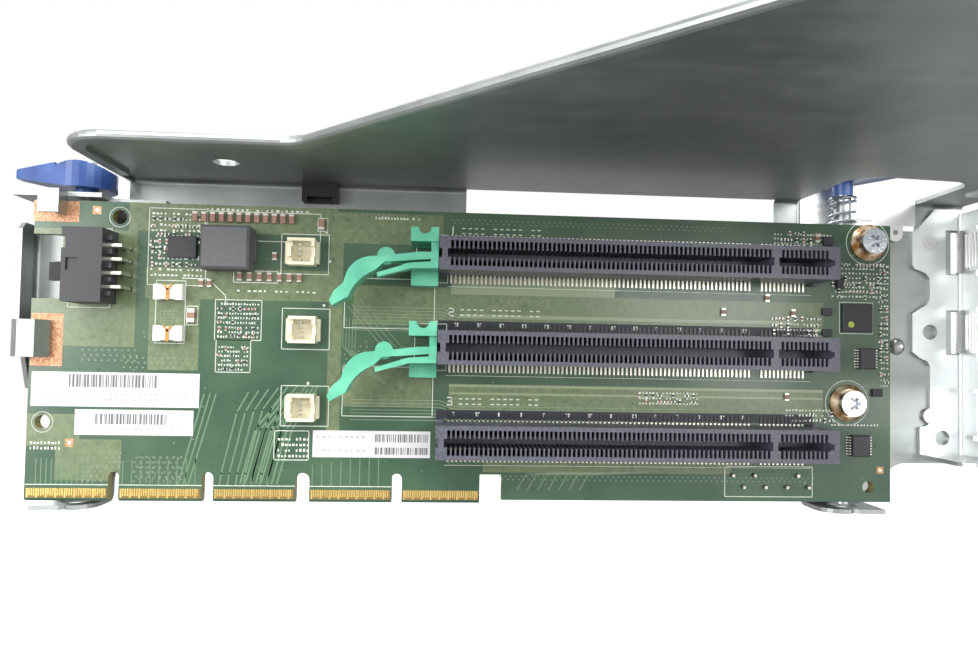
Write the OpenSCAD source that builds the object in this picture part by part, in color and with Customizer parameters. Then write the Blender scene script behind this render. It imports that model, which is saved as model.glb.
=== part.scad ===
// Three-slot expansion riser cage for a rack server.
// Frame: X runs to the rear of the server, Y away from the card side, Z up.
// Origin: axis of the front latch, at the underside of the front foot.

/* [Sheet] */
// Thickness of the cage's sheet steel
sheet_t = 1; // [0.8:0.1:1.5]
// Inside radius of every fold
bend_r = 1; // [0.5:0.25:1.5]
// Front face of the back plate
plate_y = 5; // [4.5:0.25:7]
// Underside of the top panel
panel_z = 75.9; // [74:0.1:84]
// Left end of the top panel
panel_left = 7.5; // [7:0.5:12]
// Reach of the narrow part of the top panel, from the latch line
panel_narrow = 33.5; // [26:0.5:38]
// Reach of the wide part of the top panel, from the latch line
panel_wide = 111; // [110:1:120]
// Where the panel's slanted edge starts
slope_x = 53; // [45:1:70]
// Width of the hem folded under the panel's free edges
hem_w = 3.2; // [2:0.2:5]
// Radius of the panel's front corner
panel_corner_r = 10; // [4:1:12]
// Radius of the finger hole in the panel
panel_hole_r = 2.8; // [1.5:0.1:3.5]
// Left end of the back plate
cage_left = -14.2; // [-18:0.2:-12]
// Lower edge of the back plate between the legs
plate_bottom = 10.5; // [6:0.5:14]
// Left end of the window above the board
window_left = 87.5; // [80:0.5:100]
// Right end of the window above the board
window_right = 164.8; // [150:0.4:165.2]
// Lower edge of the window above the board
window_bottom = 60; // [50:1:66]

/* [Riser board] */
// Length of the riser board
board_l = 196.8; // [190:0.4:198]
// Thickness of the riser board
board_t = 2.4; // [1.6:0.2:2.6]
// Distance from the board's left edge to the front latch axis
board_inset = 8.3; // [7:0.1:9]
// Front face of the board
board_y = -6; // [-7:0.1:-5.8]
// Top edge of the board
board_top = 68.3; // [67.5:0.1:68.6]
// Bottom edge of the board behind the contact fingers
board_bottom = 2.8; // [2:0.1:4]
// Bottom of the contact fingers
finger_bottom = 2; // [1.3:0.1:2.6]
// Top of the slits between the finger groups
slit_top = 8.5; // [7:0.1:9.5]

/* [Card slots] */
// Spacing of the card slots
slot_pitch = 20.32; // [20.32]
// Height of the top card slot
slot_z = 57.5; // [56.5:0.1:58]
// Contact nearest the rear
contact_x = 167; // [166:0.1:167.5]
// Length of a card slot housing
slot_l = 88.8; // [88.2:0.1:89.4]
// Width of a card slot housing
slot_w = 7.3; // [7:0.1:7.6]
// Height of a card slot housing off the board
slot_h = 11.25; // [10.5:0.05:12]
// Width of the card groove
groove_w = 1.9; // [1.7:0.05:2]
// Depth of the card groove
groove_d = 8.5; // [7.5:0.1:9.2]
// Contacts on each side of a slot
contacts = 82; // [49:1:82]
// Contacts between the rear end and the key
key_after = 11; // [11]
// Width of a contact strip
contact_w = 0.42; // [0.3:0.02:0.5]

/* [Latches] */
// Distance between the two latch axes
latch_span = 180; // [178:0.2:181]
// Diameter of a latch shaft
shaft_d = 4; // [3.6:0.1:4.2]
// Running clearance of a shaft in a sheet guide
shaft_fit = 0.1; // [0.05:0.05:0.2]
// Radius of a lever's head
lever_head_r = 6.4; // [5.5:0.1:6.8]
// Distance from a latch axis to its lever's tip
lever_reach = 15.6; // [13:0.2:17]
// Thickness of a lever
lever_t = 5.8; // [4.5:0.1:6.5]
// Outer diameter of a latch spring
spring_d = 6.9; // [6.5:0.1:7]
// Wire of a latch spring
spring_wire = 0.7; // [0.5:0.05:0.8]
// Underside of the front lever
front_lever_z = 71.6; // [71.4:0.1:73]
// Underside of the rear lever
rear_lever_z = 79.7; // [79.6:0.1:81]
// Radius of the hole in each foot for the chassis stud
stud_hole_r = 3.2; // [2.5:0.1:3.4]

/* [Rear frame] */
// Inside face of the rear wall
wall_x = 213.4; // [213:0.1:214]
// Distance from the board face to the bracket shelf
shelf_reach = 100.36; // [99:0.02:101]
// Height of a bracket's middle above its slot's middle
bracket_offset = 6.4; // [6:0.1:6.8]
// Height of a bracket opening in the rear wall
opening_h = 12.6; // [12:0.1:14]
// Width of a slot blank
blank_w = 18.42; // [17:0.02:18.6]
// Width of a slot blank's tongue
tongue_w = 10.16; // [9:0.02:10.4]
// Thickness of a slot blank
blank_t = 0.9; // [0.8:0.05:1]
// How far the shelf stands out behind the wall
shelf_w = 12.6; // [12:0.1:14]

/* [Board parts] */
// Diameter of a board screw's head
screw_head_d = 6; // [5.4:0.1:6.4]
// Diameter of a board screw's washer
washer_d = 8.6; // [8:0.1:9]
// Pitch of the power header's pins
power_pitch = 3; // [3]
// Circuits along the power header
power_pins = 4; // [4]
// Height of the power header
power_h = 8; // [7:0.1:8.4]
// Length of the inductor
inductor_l = 11.4; // [10:0.1:12]
// Width of the inductor
inductor_w = 9.5; // [9:0.1:10.2]
// Height of the inductor
inductor_h = 6; // [4:0.1:7]

/* [Hidden] */
$fn = 48;

layer_y = plate_y - sheet_t;            // front face of the sheets laid on the back plate
plate_back = plate_y + sheet_t;
board_back = board_y + board_t;
board_left = -board_inset;
board_right = board_left + board_l;
cage_right = wall_x + sheet_t;
shelf_y = board_y - shelf_reach;        // face that a card bracket's tab sits on
front_x = 0;
rear_x = latch_span;
steel = "silver";
gap = 0.3;                              // air between pieces that move past each other

// Box between two corners
module span(a, b) {
  translate(a) cube(b - a);
}

// Quarter bend of the sheet, along X from x0 to x1, about the line at y, z
module bend_x(x0, x1, y, z, turn) {
  translate([x0, y, z]) rotate([90, 0, 90]) rotate([0, 0, turn])
    rotate_extrude(angle = 90) translate([bend_r, 0]) square([sheet_t, x1 - x0]);
}

// Quarter bend of the sheet, along Z from z0 to z1, about the line at x, y
module bend_z(z0, z1, x, y, turn) {
  translate([x, y, z0]) rotate([0, 0, turn])
    rotate_extrude(angle = 90) translate([bend_r, 0]) square([sheet_t, z1 - z0]);
}

// Quarter bend of the sheet, along Y from y0 to y1, about the line at x, z
module bend_y(y0, y1, x, z, turn) {
  translate([x, y0, z]) rotate([-90, 0, 0]) rotate([0, 0, turn])
    rotate_extrude(angle = 90) translate([bend_r, 0]) square([sheet_t, y1 - y0]);
}

// Plate standing in the XZ plane, its front face at y
module wall_plate(points, y, t) {
  translate([0, y + t, 0]) rotate([90, 0, 0]) linear_extrude(t) polygon(points);
}

// Round hole along Y through a plate whose front face is at y
module hole_y(x, z, r, y, t) {
  translate([x, y - 1, z]) rotate([-90, 0, 0]) cylinder(r = r, h = t + 2);
}

// Points of an arc about c, from angle a0 to a1
function arc(c, r, a0, a1, n = 6) = [for (i = [0:n]) let (a = a0 + (a1 - a0) * i / n)
  [c[0] + r * cos(a), c[1] + r * sin(a)]];

// Point h to the left of a line of points at its i-th corner, mitred
function beside(a, b) = [a[1] - b[1], b[0] - a[0]] / norm(b - a);
function mitre(p, i, h) = i == 0 ? p[0] + h * beside(p[0], p[1])
  : i == len(p) - 1 ? p[i] + h * beside(p[i - 1], p[i])
  : let (m = beside(p[i - 1], p[i]) + beside(p[i], p[i + 1])) p[i] + m * 2 * h / (m * m);

// ---- Folded sheet cage: back plate, top panel, feet and board hooks ----

flange_z = 69.2;                        // underside of the small flange over the board's front corner
flange_right = 6;
foot_front = board_y;                   // front edge of both feet
front_foot = [-7.3, 6];
rear_foot = [rear_x - 7.5, rear_x + 7.4];
ledge = [5.5, 18.5];                    // ends of the ledge under the fold
cut_left = rear_x - 9;                  // panel cut-out round the rear latch
cut_right = rear_x + 21.6;
fillet_r = 8;                           // inside radius where the panel's slanted edge starts
guide_z = 9;                            // lower shaft guides
guide_half = 5;

corner = [panel_left + panel_corner_r, panel_corner_r - panel_narrow];
fillet = [slope_x - fillet_r * tan(22.5), -panel_narrow - fillet_r];

// Corner points that wrap an arc about c from outside, so that their sides touch it
function wrapped(c, r, a0, a1, n = 8) = let (step = (a1 - a0) / n)
  [for (i = [0:n - 1]) let (a = a0 + step * (i + 0.5)) c + r / cos(step / 2) * [cos(a), sin(a)]];

// The panel's face, drawn d inside its free edges
module panel_face(d) {
  end_x = slope_x + panel_wide - panel_narrow + d * sqrt(2);
  polygon(concat([[panel_left + d, layer_y]], wrapped(corner, panel_corner_r - d, 180, 270),
    wrapped(fillet, fillet_r + d, 90, 45, 4), [[end_x, -panel_wide], [cage_right, -panel_wide],
    [cage_right, layer_y]]));
}

// Free edge of the panel, from the long fold round to the wide end and a little past it
panel_edge = concat([[panel_left, layer_y]], wrapped(corner, panel_corner_r, 180, 270),
  wrapped(fillet, fillet_r, 90, 45, 4), [[slope_x + panel_wide - panel_narrow + 2, -panel_wide - 2]]);
hem_seat = 0.4;                         // how far the rolled edge is seated in the flat sheets

// Rolled edge of the hem: a half round swept along the free edge
module rolled_edge() {
  section = concat([for (a = [-90:30:90]) [1 - cos(a), sin(a)] * sheet_t],
    [[sheet_t + hem_seat, sheet_t], [sheet_t + hem_seat, -sheet_t]]);
  m = len(section);
  n = len(panel_edge) - 1;
  points = [for (i = [0:n], s = section) let (p = mitre(panel_edge, i, s[0])) [p[0], p[1], panel_z + s[1]]];
  faces = concat([[for (j = [m - 1:-1:0]) j]], [[for (j = [0:m - 1]) n * m + j]],
    [for (i = [0:n - 1], j = [0:m - 1]) let (a = i * m + j, b = i * m + (j + 1) % m) [a, b, b + m, a + m]]);
  polyhedron(points, faces, convexity = 4);
}

module top_panel() {
  sheet_edge = sheet_t + hem_seat / 2;
  difference() {
    union() {
      translate([0, 0, panel_z]) linear_extrude(sheet_t) panel_face(sheet_edge);
      difference() {
        translate([0, 0, panel_z - sheet_t]) linear_extrude(sheet_t) panel_face(sheet_edge);
        translate([0, 0, panel_z - 2 * sheet_t]) linear_extrude(2 * sheet_t) panel_face(hem_w);
        span([cage_left, -hem_w, panel_z - 2 * sheet_t], [cage_right + 1, plate_y, panel_z]);
        span([cage_left, -panel_wide, panel_z - 2 * sheet_t], [cage_right + 1, hem_w - panel_wide, panel_z]);
      }
      difference() {
        rolled_edge();
        span([slope_x, -2 * panel_wide, panel_z - 5], [cage_right + 50, -panel_wide, panel_z + 5]);
      }
    }
    translate([panel_left + 27.6, -14.3, panel_z - 5]) cylinder(r = panel_hole_r, h = 10);
    for (y = flange_rivets) translate([flange_rivet_x, y, panel_z - 5]) cylinder(r = rivet_r, h = 10);
    translate([0, 0, panel_z - 5]) linear_extrude(10) polygon(concat(
      [[cut_right, layer_y + 1], [cut_left, layer_y + 1]],
      arc([cut_left + 6, -16], 6, 180, 262), arc([cut_right - 9, -12.5], 8, 290, 345)));
  }
}

module foot(ends, arc_points) {
  difference() {
    linear_extrude(sheet_t) polygon(arc_points);
    translate([0, 0, -1]) cylinder(r = stud_hole_r, h = 4);
    translate([0, foot_front, -1]) rotate([0, 0, 45]) cube([1.3, 1.3, 6], center = true);
  }
  bend_x(ends[0], ends[1], layer_y, sheet_t + bend_r, -90);
}

module back_plate() {
  leg_z = sheet_t + bend_r;
  top = panel_z - bend_r;
  side_x = cage_left + sheet_t + bend_r;
  difference() {
    wall_plate(concat([[side_x, 24], [front_foot[0], 19], [front_foot[0], leg_z], [front_foot[1], leg_z]],
      arc([front_foot[1] + 6, plate_bottom - 6], 6, 180, 90),
      arc([rear_foot[0] - 6, plate_bottom - 6], 6, 90, 0), [[rear_foot[0], leg_z], [rear_foot[1], leg_z]],
      arc([rear_foot[1] + 12, plate_bottom - 6], 6, 150, 90), [[cage_right, plate_bottom],
      [cage_right, top], [cut_right, top], [cut_right, flange_z], [cut_left, flange_z], [cut_left, top],
      [panel_left, top], [panel_left, flange_z - bend_r], [side_x, flange_z - bend_r]]), plate_y, sheet_t);
    span([window_left, 0, window_bottom], [window_right, 9, panel_z]);
    // Windows left by the lanced shaft guides
    for (x = [front_x, rear_x])
      span([x - guide_half, 0, guide_z + sheet_t], [x + guide_half, 9, guide_z + 9]);
    // Windows for the tongues of the card brackets
    for (k = [0, 1]) span([wall_x - 1.9, 0, tongue_z(k) - tongue_w / 2 - gap],
      [wall_x + 0.2, 9, tongue_z(k) + tongue_w / 2 + gap]);
    for (p = rivets) hole_y(p[0], p[1], rivet_r, plate_y, sheet_t);
  }
}

// Sheet strip that follows a line of points in plan, standing from z0 to z1
module strip(points, z0, z1) {
  last = len(points) - 1;
  translate([0, 0, z0]) linear_extrude(z1 - z0) polygon(concat(
    [for (i = [0:last]) mitre(points, i, sheet_t / 2)],
    [for (i = [last:-1:0]) mitre(points, i, -sheet_t / 2)]));
}

module board_hooks() {
  h = sheet_t / 2;
  out = board_y - 3.5;                  // how far a hook stands off the board
  // Upper hook: drops from the flange and closes back on the board's face
  strip([[-5.8, out], [-1.9, out], [-1.9, board_y]], 65, flange_z + sheet_t);
  span([-5.8, out - h, flange_z], [h - 1.9, foot_front, flange_z + sheet_t]);
  // Lower hook: leaves the side flange and wraps the board's edge
  strip([[cage_left + h, -1], [board_left - 2.6, board_y - 1.6], [board_left - 0.6, out],
    [board_left + 2.6, out], [board_left + 4.1, board_y - h]], 33.5, 41.6);
}

module cage_shell() color(steel) {
  side_x = cage_left + sheet_t + bend_r;
  back_plate();
  top_panel();
  // Long fold, broken by the window and by the rear latch's cut-out
  for (s = [[panel_left, window_left], [window_right, cut_left], [cut_right, cage_right]])
    bend_x(s[0], s[1], layer_y, panel_z - bend_r, 0);
  // Side flange at the front end
  bend_z(26, 64, side_x, layer_y, 90);
  translate([cage_left, 0, 0]) rotate([90, 0, 90]) linear_extrude(sheet_t)
    polygon([[layer_y, 26], [2, 32], [-1.5, 41], [-1.5, 62.5], [0, 64], [layer_y, 64]]);
  // Small flange over the board's front corner, with the front shaft's upper guide
  bend_x(side_x, flange_right, layer_y, flange_z - bend_r, 0);
  difference() {
    span([cage_left + bend_r, foot_front - gap, flange_z], [flange_right, layer_y, flange_z + sheet_t]);
    shaft_hole(front_x);
  }
  board_hooks();
  // Ledge under the fold, over the board's top edge
  span([ledge[0], -2, flange_z - 0.5], [ledge[1], plate_y, flange_z + 0.5]);
  // Feet, with the holes that the chassis studs enter
  foot(front_foot, concat([[front_foot[0], layer_y], [front_foot[0], foot_front]],
    arc([front_foot[1] - 5, foot_front + 5], 5, 270, 360), [[front_foot[1], layer_y]]));
  translate([rear_x, 0, 0]) foot(rear_foot - [rear_x, rear_x], concat([[rear_foot[1] - rear_x, layer_y],
    [rear_foot[1] - rear_x, foot_front]], arc([rear_foot[0] - rear_x + 5, foot_front + 5], 5, 270, 180),
    [[rear_foot[0] - rear_x, layer_y]]));
  // Lower guides of both shafts
  for (x = [front_x, rear_x]) difference() {
    span([x - guide_half, -shaft_d / 2 - 1.2, guide_z], [x + guide_half, plate_back, guide_z + sheet_t]);
    shaft_hole(x);
  }
}

module shaft_hole(x) {
  translate([x, 0, -1]) cylinder(r = shaft_d / 2 + shaft_fit, h = 120);
}

// ---- Rear frame: second folded sheet with the bracket openings, riveted to the back plate ----

rivet_r = 1.9;
rivets = [[wall_x - 8.1, 66.2], [wall_x - 8, 22.5], [197, 39.8]];
frame_bottom = 11.9;
frame_top = panel_z - bend_r;
frame_left = 200.6;                     // left edge of the frame's widest tabs
frame_fold = frame_bottom + sheet_t;
wall_front = shelf_y + sheet_t + bend_r; // where the wall turns out into the shelf
wall_top = frame_top - sheet_t;
flange_ends = [-100, -10];              // top flange, riveted under the panel
flange_w = 9;
flange_rivet_x = wall_x - 6.5;
flange_rivets = [-94, -64, -34];
bracket_screw_x = cage_right + 7;
bracket_screw_r = 1.75;

function slot_axis(k) = slot_z - k * slot_pitch;
function tongue_z(k) = slot_axis(k) + bracket_offset;

module frame_plate() {
  inner = frame_left + 4.6;
  foot_x = frame_left + 1.9;
  difference() {
    wall_plate([[frame_left + 6, frame_top], [frame_left, 68.1], [frame_left, 60.5],
      [frame_left + 0.7, 59.5], [frame_left + 2.4, 59], [inner - 0.8, 58.3], [inner, 57],
      [inner, 52], [inner - 0.8, 50.6], [frame_left + 2.4, 49.7], [frame_left, 48.2], [frame_left, 38.5],
      [frame_left + 2, 37], [inner - 0.6, 36.2], [inner, 35], [inner, 20.8], [inner - 0.8, 20],
      [foot_x, 19.6], [foot_x, frame_fold], [wall_x - bend_r, frame_fold],
      [wall_x - bend_r, frame_top]], layer_y, sheet_t);
    for (p = concat(rivets, [[wall_x - 8.2, 43.6], [wall_x - 5, 17]]))
      hole_y(p[0], p[1], rivet_r, layer_y, sheet_t);
  }
}

module rear_frame() color(steel) {
  difference() {
    union() {
      frame_plate();
      bend_z(frame_fold, wall_top, wall_x - bend_r, layer_y - bend_r, 0);
      span([wall_x, wall_front, frame_fold], [cage_right, layer_y - bend_r, wall_top]);
    }
    // Windows for the tongues of the two upper brackets
    for (k = [0, 1]) span([wall_x - 4, layer_y - 2, tongue_z(k) - tongue_w / 2 - 2 * gap],
      [wall_x + 0.1, plate_back, tongue_z(k) + tongue_w / 2 + 2 * gap]);
    // Bracket openings
    for (k = [0:2]) span([wall_x - 1, wall_front + 7, tongue_z(k) - opening_h / 2],
      [cage_right + 1, -1.5, tongue_z(k) + opening_h / 2]);
  }
  // Top flange, riveted under the panel
  bend_y(flange_ends[0], flange_ends[1], wall_x - bend_r, wall_top, -90);
  difference() {
    span([wall_x - flange_w, flange_ends[0], frame_top], [wall_x - bend_r, flange_ends[1], panel_z]);
    for (y = flange_rivets) translate([flange_rivet_x, y, panel_z - 5]) cylinder(r = rivet_r, h = 10);
  }
  // Shelf for the bracket tabs
  bend_z(frame_fold, frame_top, cage_right + bend_r, wall_front, 180);
  difference() {
    span([cage_right + bend_r, shelf_y, frame_fold], [cage_right + shelf_w, shelf_y + sheet_t, frame_top]);
    for (k = [0:2]) hole_y(bracket_screw_x, tongue_z(k), bracket_screw_r, shelf_y, sheet_t);
  }
  // Foot flange, below the lowest opening
  translate([0, 0, frame_bottom]) linear_extrude(sheet_t) polygon(concat(
    [[cage_right, plate_y], [frame_left + 1.9, plate_y]], arc([frame_left + 6.9, -8], 5, 180, 270),
    [[cage_right, -13]]));
  // Lugs that steady the tongue in the lowest opening
  for (s = [-1, 1]) translate([0, 0, tongue_z(2) + s * (tongue_w / 2 + 2 * gap)])
    span([wall_x - blank_t, -1.4, -0.5], [wall_x + 0.5, 1.2, 0.5]);
}

// Bright second sheet behind the board: upright plate, guide shelf for the rear shaft, and a leg
// against the board's back that takes the board screws
rear_guide_z = 67.9;
leg_y = board_back;
leg_ends = [rear_x - 8, rear_x + 7];
leg_bottom = 21;

module latch_bracket() color(steel) {
  left = rear_x - 9 + gap;
  right = rear_x + 21.3;
  top = rear_lever_z - gap;
  shelf_top = rear_guide_z + sheet_t;
  difference() {
    wall_plate(concat([[left, 77], [left + 5, top - 0.7], [left + 9, top], [right - 7, top],
      [right - 1, top - 0.7], [right, top - 2], [right, 70.5], [right - 3.2, 70.5], [right - 3.2, 68.3]],
      arc([right - 5.2, 68.3], 2, 360, 180), [[right - 8.8, 66.4], [leg_ends[1] + 0.6, 66.4],
      [leg_ends[1] + 0.6, shelf_top + bend_r], [leg_ends[0] + 2.4, shelf_top + bend_r],
      [leg_ends[0] + 2.4, 56], [left, 56]]), layer_y, sheet_t);
    hole_y(right - 5.2, 68.6, 0.7, layer_y, sheet_t);
    // Oval slot beside the shaft
    span([right - 17.6, 0, 70.7], [right - 10.6, 9, 71.7]);
  }
  bend_x(leg_ends[0] + 3, leg_ends[1], layer_y - bend_r, shelf_top + bend_r, -90);
  difference() {
    union() {
      span([leg_ends[0] + 3, leg_y + sheet_t + bend_r, rear_guide_z],
        [leg_ends[1], layer_y - bend_r, shelf_top]);
      bend_x(leg_ends[0] + 3, leg_ends[1], leg_y + sheet_t + bend_r, rear_guide_z - bend_r, 90);
    }
    shaft_hole(rear_x);
  }
  difference() {
    span([leg_ends[0], leg_y, leg_bottom], [leg_ends[1], leg_y + sheet_t, rear_guide_z - bend_r]);
    for (p = screw_at) hole_y(p[0], p[1], board_screw_r + 0.02, leg_y, sheet_t);
  }
}

module frame_rivets() color("gainsboro") {
  // Flush rivets of the frame, and the domed one beside it
  for (p = [rivets[0], rivets[1]]) translate([p[0], layer_y, p[1]]) rotate([-90, 0, 0])
    cylinder(r = rivet_r, h = 2 * sheet_t);
  translate([rivets[2][0], plate_y, rivets[2][1]]) {
    rotate([-90, 0, 0]) cylinder(r = rivet_r, h = sheet_t);
    intersection() {
      translate([0, 0.6, 0]) sphere(2.2);
      span([-3, -3, -3], [3, 0, 3]);
    }
  }
  // Rivets of the top flange, with low heads on the panel
  for (y = flange_rivets) translate([flange_rivet_x, y, frame_top]) {
    cylinder(r = rivet_r, h = 2 * sheet_t);
    translate([0, 0, 2 * sheet_t]) cylinder(r1 = rivet_r + 0.8, r2 = rivet_r, h = 0.6, $fn = 64);
  }
}

// Filler for an unused slot: one folded strip with a tab, a tongue and stiffening ribs
rib_pitch = 1.1;

module slot_blank(k) color("lightgray") {
  z = tongue_z(k);
  x0 = wall_x - blank_t;
  tip = shelf_y + 120.02;
  translate([0, 0, z]) {
    difference() {
      wall_blank(x0, -blank_w / 2, blank_w / 2, shelf_y, -5);
      for (y = [-92:4:-16], s = [-1, 1]) translate([x0 - 1, y + s, s * 3]) rotate([0, 90, 0])
        cylinder(r = 1.3, h = 3);
    }
    wall_blank(x0, -tongue_w / 2, tongue_w / 2, -5, tip);
    for (i = [0:4]) translate([x0, -3.6 + i * rib_pitch, -4.2]) cylinder(r = 0.3, h = 8.4);
    difference() {
      span([x0, shelf_y - blank_t, -blank_w / 2], [cage_right + shelf_w - 0.6, shelf_y, blank_w / 2]);
      translate([bracket_screw_x, shelf_y - 2, 0]) rotate([-90, 0, 0])
        cylinder(r = bracket_screw_r + 0.25, h = 4);
    }
  }
}

module wall_blank(x, z0, z1, y0, y1) {
  span([x, y0, z0], [x + blank_t, y1, z1]);
}

module blank_screws() color("silver") {
  for (k = [0, 1]) translate([bracket_screw_x, shelf_y, tongue_z(k)]) rotate([90, 0, 0]) {
    translate([0, 0, -4]) cylinder(r = bracket_screw_r, h = 4 + blank_t);
    difference() {
      translate([0, 0, blank_t]) cylinder(r = 3.4, h = 2.2);
      translate([0, 0, blank_t + 1.2]) cylinder(r = 1.7, h = 2, $fn = 6);
    }
  }
}

// ---- Riser board ----

fingers = [[-8.2, 9.5], [11.7, 29.65], [32.1, 50.1], [53.2, 71.5], [73.8, 91.4]];
screw_at = [[rear_x + 2.9, 64.1], [rear_x - 2.1, 26]];
board_screw_r = 1.5;
header_notch = [46.4, 60.7];            // height of the cut-out behind the power header
header_right = -2;

module finger_slit(x0, x1) {
  r = (x1 - x0) / 2;
  span([x0, 0, finger_bottom - 1], [x1, board_t, slit_top - r]);
  translate([x0 + r, 0, slit_top - r]) rotate([-90, 0, 0]) cylinder(r = r, h = board_t);
}

module riser_board() color("darkgreen") {
  translate([0, board_y, 0]) difference() {
    union() {
      span([board_left, 0, 8.5], [board_right, board_t, board_top]);
      span([board_left, 0, finger_bottom], [fingers[4][1], board_t, 8.5]);
      span([96.4, 0, board_bottom], [board_right, board_t, 8.5]);
    }
    for (i = [0:3]) finger_slit(fingers[i][1], fingers[i + 1][0]);
    // Bevel along the fingers' lower edge
    for (y = [0, board_t]) translate([board_left - 1, y, finger_bottom]) rotate([45, 0, 0])
      translate([0, -0.4, -0.4]) cube([fingers[4][1] - board_left + 2, 0.8, 0.8]);
    // Cut-out behind the power header
    span([board_left - 1, -1, header_notch[0]], [header_right, board_t + 1, header_notch[1]]);
    for (p = [[10, 64.9, 1.6], [-5, 19.2, 1.6], [183.1, 6.3, 1.4]])
      translate([p[0], 0, p[1]]) rotate([-90, 0, 0]) translate([0, 0, -1]) cylinder(r = p[2], h = board_t + 2);
    for (p = screw_at) translate([p[0], -1, p[1]]) rotate([-90, 0, 0])
      cylinder(r = board_screw_r + 0.2, h = board_t + 2);
    for (p = concat(tail_at, power_pin_at)) translate([p[0], -1, p[1]]) rotate([-90, 0, 0])
      cylinder(r = 0.5, h = board_t + 2, $fn = 24);
  }
}

washer_t = 1;
tip_y = leg_y + sheet_t + 0.3;          // end of a board screw, short of the rear shaft

module board_washers() color("goldenrod") {
  for (p = screw_at) translate([p[0], board_y, p[1]]) rotate([90, 0, 0]) difference() {
    union() {
      cylinder(d = washer_d, h = washer_t / 2);
      translate([0, 0, washer_t / 2])
        cylinder(d1 = washer_d, d2 = screw_head_d + 0.6, h = washer_t / 2, $fn = 64);
    }
    translate([0, 0, -1]) cylinder(r = board_screw_r + 0.2, h = 4);
  }
}

module board_screws() color("lightgray") {
  head = 2.2;
  for (p = screw_at) translate([p[0], board_y - washer_t, p[1]]) rotate([90, 0, 0]) {
    difference() {
      cylinder(d = screw_head_d, h = head);
      for (a = [0, 60, 120]) rotate([0, 0, a]) span([-1.55, -0.42, head / 2], [1.55, 0.42, head + 1]);
    }
    translate([0, 0, board_y - washer_t - tip_y]) cylinder(r = board_screw_r, h = tip_y - board_y + washer_t);
  }
}

// ---- Card slots ----

slot_right = contact_x + 3;
slot_left = slot_right - slot_l;
key_x = contact_x - key_after - 0.5;
recess_reach = 2.7;
recess_w = 0.64;
recess_d = 7.5;
key_w = 1.1;
tail_room = 0.5;                        // space under a housing for the contacts' tails
tail_reach = 1.9;                       // tail that shows beside the housing
contact_z = 1.25;
contact_t = 0.25;
latch_h = 11.2;                         // height of a card latch off the board

function contact_at(i) = contact_x - i - (i < key_after ? 0 : 2);

module card_slot(k) color([0.16, 0.17, 0.2]) {
  front = board_y - slot_h;
  under = board_y - tail_room;
  translate([0, 0, slot_axis(k)]) difference() {
    union() {
      span([slot_left, front, -slot_w / 2], [slot_right, under, slot_w / 2]);
      // Standing feet at both ends, wider than the housing
      for (x = [slot_left, slot_right - 1.6])
        span([x, board_y - 2.4, -slot_w / 2 - 0.5], [x + 1.6, board_y, slot_w / 2 + 0.5]);
    }
    // Card groove on both sides of the key
    for (s = [[contact_at(contacts - 1) - 1, key_x - key_w / 2], [key_x + key_w / 2, contact_x + 1]])
      span([s[0], front - 1, -groove_w / 2], [s[1], front + groove_d, groove_w / 2]);
    // Cavities of the contacts, and the openings for their legs below
    for (i = [0:contacts - 1]) translate([contact_at(i), 0, 0]) {
      span([-recess_w / 2, front - 1, -recess_reach], [recess_w / 2, front + recess_d, recess_reach]);
      for (m = [0, 1]) mirror([0, 0, m]) span([-recess_w / 2, front, contact_z - 0.1],
        [recess_w / 2, board_y, contact_z + contact_t + 0.1]);
    }
    // Relief at the ends of the mouth
    span([contact_x + 1, front - 1, -0.6], [contact_x + 1.8, front + 3, 0.6]);
    span([slot_left - 1, front - 1, -groove_w / 2], [slot_left + 0.6, front + 6, groove_w / 2]);
  }
}

// Contacts: upright leg with its spring tip in the cavity, and a foot soldered to the board
module slot_contacts(k) color("goldenrod") {
  front = board_y - slot_h;
  for (i = [0:contacts - 1], m = [0, 1]) translate([contact_at(i) - contact_w / 2, 0, slot_axis(k)])
    mirror([0, 0, m]) {
      span([0, front + 1.4, contact_z], [contact_w, board_y, contact_z + contact_t]);
      span([0, board_y - contact_t, contact_z], [contact_w, board_y, slot_w / 2 + tail_reach]);
    }
}

// ---- Card retention latches: one moulding each, a block with a springy lever ----

module card_latch(k) color([0.25, 0.62, 0.47]) translate([slot_left - gap / 2, 0, slot_axis(k)]) {
  front = board_y - latch_h;
  difference() {
    union() {
      span([-6, front + 0.7, 2.4], [0, board_y, 5.5]);
      span([-6, board_y - 5, -6.7], [0, board_y, -2.9]);
      span([-1.6, front + 1.5, -3.4], [0, board_y, 2.6]);
    }
    translate([-3, 0, 5.4]) rotate([90, 0, 0]) cylinder(r = 1.35, h = 20);
  }
  // Upper lever, swept down to the finger tip
  translate([0, front, 0]) rotate([-90, 0, 0]) mirror([0, 1, 0]) linear_extrude(6) polygon(concat(
    [[0, -0.1], [0, 0.1]], [[-4.05, 0], [-11.65, -1], [-14.35, -1.2]],
    arc([-14.05, -7], 5.8, 92, 168, 8),
    [[-20.05, -7], [-22.05, -8.8], [-22.95, -10.8], [-22.35, -11.9], [-21.45, -11.3]],
    arc([-9.65, -13.4], 10, 160, 112, 6), [[-11.55, -2.3], [-1.65, -1.5], [-1.65, -2], [0, -2]]));
  // Lower arm and its thin spring leaf
  translate([0, front, 0]) rotate([-90, 0, 0]) mirror([0, 1, 0]) linear_extrude(4) polygon([[0, -1.9],
    [-1.65, -2], [-5.65, -2.3], [-7.75, -2.8], [-7.75, -4.1], [-5.65, -3.5], [0, -3.4]]);
  translate([0, front + 0.6, 0]) rotate([-90, 0, 0]) mirror([0, 1, 0]) linear_extrude(2.6)
    polygon([[-7.65, -2.85], [-13.15, -4.6], [-12.95, -5.5], [-7.65, -4.05]]);
  // Thumb boss on the upper lever
  translate([-11.25, front + 1.2, -0.9]) rotate([-90, 0, 0]) cylinder(r = 1.9, h = 3.4);
}

// ---- Power header: shrouded housing lying on the board, open to the front end ----

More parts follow.
